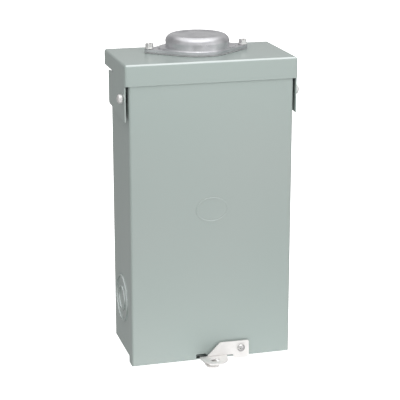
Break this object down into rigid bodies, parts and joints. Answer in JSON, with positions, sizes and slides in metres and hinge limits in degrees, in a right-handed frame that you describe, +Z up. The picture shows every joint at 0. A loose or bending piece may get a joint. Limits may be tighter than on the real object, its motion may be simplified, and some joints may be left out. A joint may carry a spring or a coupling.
{
  "type": "outdoor residential load center",
  "caption": "Rainproof wall-mounted electrical load center: folded steel box, hooded top with hub plate, lift-up padlockable cover, and a plug-in breaker interior.",
  "frame": {"origin": "centre of the enclosure back wall's flat rear face, in the plane of the wall that it hangs on", "axes": "+X to the right seen from the front, +Y into the wall (the front faces -Y), +Z up"},
  "size_m": [0.2004, 0.1256, 0.3564],
  "materials": {
    "enamel": "pale grey-green baked enamel, semi-gloss",
    "zinc": "bright zinc plate",
    "die_cast": "satin die casting",
    "galvanised": "galvanised steel",
    "phenolic": "black moulded phenolic",
    "white_plastic": "white moulded nylon",
    "grey_plastic": "dark grey moulded polyester",
    "tinned_bus": "tin-plated bus",
    "aluminium": "extruded aluminium",
    "rubber": "black sheet rubber"
  },
  "bodies": {
    "root": {"bottom_end_wall": "enamel", "breaker_1_case": "phenolic", "breaker_1_terminal_screw": "zinc", "breaker_2_case": "phenolic", "breaker_2_terminal_screw": "zinc", "breaker_3_case": "phenolic", "breaker_3_terminal_screw": "zinc", "breaker_4_case": "phenolic", "breaker_4_terminal_screw": "zinc", "breaker_rail": "galvanised", "bus_bar_a": "tinned_bus", "bus_bar_b": "tinned_bus", "bus_insulator": "grey_plastic", "deadfront": "enamel", "deadfront_post_bottom": "galvanised", "deadfront_post_top": "galvanised", "deadfront_screw_bottom": "zinc", "deadfront_screw_top": "zinc", "enclosure_wrap": "enamel", "ground_bar": "aluminium", "hub_closing_plate": "die_cast", "hub_gasket": "rubber", "hub_screw_left": "zinc", "hub_screw_right": "zinc", "interior_pan": "galvanised", "line_lug_a": "aluminium", "line_lug_a_set_screw": "zinc", "line_lug_b": "aluminium", "line_lug_b_set_screw": "zinc", "neutral_bar": "aluminium", "neutral_insulator": "white_plastic", "padlock_staple": "zinc", "pan_screw_left": "zinc", "pan_screw_right": "zinc", "pivot_nut_left": "zinc", "pivot_nut_right": "zinc", "pivot_screw_left": "zinc", "pivot_screw_right": "zinc", "pivot_spacer_left": "white_plastic", "pivot_spacer_right": "white_plastic", "rain_hood": "enamel", "staple_rivet_left": "zinc", "staple_rivet_right": "zinc", "top_end_wall": "enamel"},
    "cover": {"front_cover": "enamel", "hasp_rivet": "zinc"},
    "hasp": {"hasp_latch": "zinc"},
    "breaker_1_handle": {"breaker_1_handle": "phenolic"},
    "breaker_2_handle": {"breaker_2_handle": "phenolic"},
    "breaker_3_handle": {"breaker_3_handle": "phenolic"},
    "breaker_4_handle": {"breaker_4_handle": "phenolic"}
  },
  "joints": [
    {"name": "cover_hinge", "type": "hinge", "parent": "root", "child": "cover", "pos_m": [0, -0.0885, 0.1275], "axis": [-1, 0, 0], "range_deg": [0, 95]},
    {"name": "hasp_pivot", "type": "hinge", "parent": "cover", "child": "hasp", "pos_m": [0.0331, -0.1017, -0.159], "axis": [0, 1, 0], "range_deg": [0, 70]},
    {"name": "breaker_1_toggle", "type": "hinge", "parent": "root", "child": "breaker_1_handle", "pos_m": [-0.0381, -0.079, -0.007], "axis": [1, 0, 0], "range_deg": [0, 50]},
    {"name": "breaker_2_toggle", "type": "hinge", "parent": "root", "child": "breaker_2_handle", "pos_m": [-0.0127, -0.079, -0.007], "axis": [1, 0, 0], "range_deg": [0, 50]},
    {"name": "breaker_3_toggle", "type": "hinge", "parent": "root", "child": "breaker_3_handle", "pos_m": [0.0127, -0.079, -0.007], "axis": [1, 0, 0], "range_deg": [0, 50]},
    {"name": "breaker_4_toggle", "type": "hinge", "parent": "root", "child": "breaker_4_handle", "pos_m": [0.0381, -0.079, -0.007], "axis": [1, 0, 0], "range_deg": [0, 50]}
  ]
}
